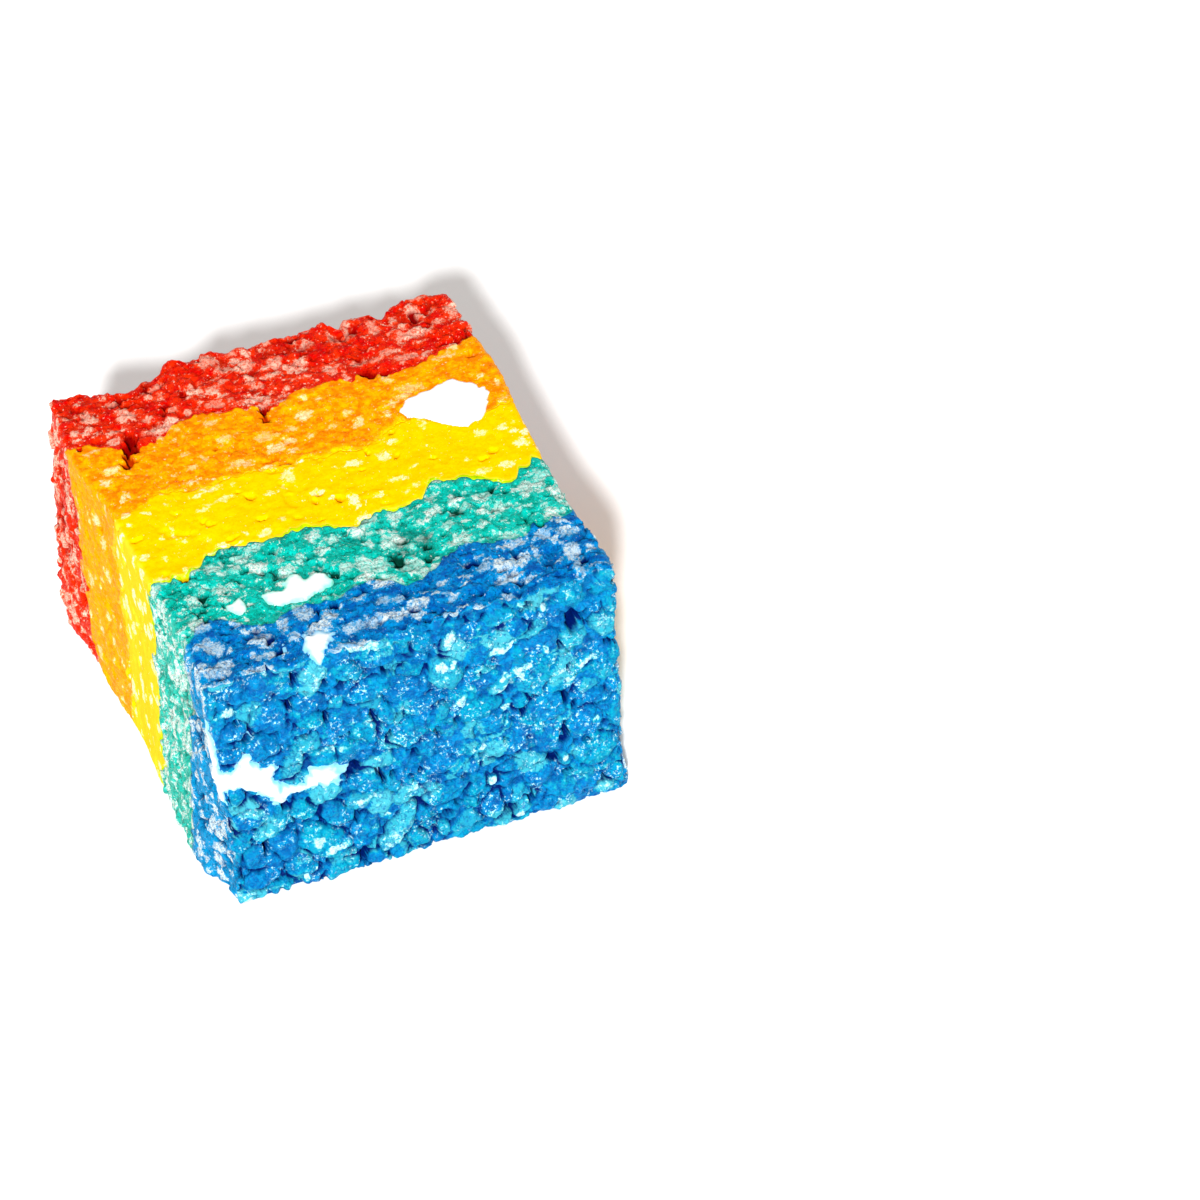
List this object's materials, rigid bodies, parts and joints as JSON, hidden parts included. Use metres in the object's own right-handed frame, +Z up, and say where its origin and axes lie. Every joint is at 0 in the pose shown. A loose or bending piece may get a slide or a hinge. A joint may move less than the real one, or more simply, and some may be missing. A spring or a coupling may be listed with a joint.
{
  "type": "rice crispy treat",
  "caption": "Square-cut block of puffed-rice treat in blue, green, yellow, orange and red pressed layers, with white marshmallow lumps in the cut top.",
  "frame": {"origin": "middle of the block's foot, on the surface that it rests on", "axes": "+X to the right along the layers, +Y through the layers from blue to red, +Z up"},
  "size_m": [0.0568, 0.063, 0.0359],
  "materials": {
    "blue_rice": "sticky glossy syrup over puffed rice",
    "green_rice": "cut puffed rice in coloured marshmallow, satin",
    "yellow_rice": "cut puffed rice in coloured marshmallow, satin",
    "orange_rice": "cut puffed rice in coloured marshmallow, satin",
    "red_rice": "cut puffed rice in coloured marshmallow, satin",
    "marshmallow": "soft matt marshmallow"
  },
  "bodies": {
    "root": {"layer_blue": "blue_rice", "layer_green": "green_rice", "layer_yellow": "yellow_rice", "layer_orange": "orange_rice", "layer_red": "red_rice", "marshmallow_large": "marshmallow", "marshmallow_middle": "marshmallow", "marshmallow_small": "marshmallow", "marshmallow_edge": "marshmallow", "marshmallow_smear": "marshmallow"}
  },
  "joints": []
}
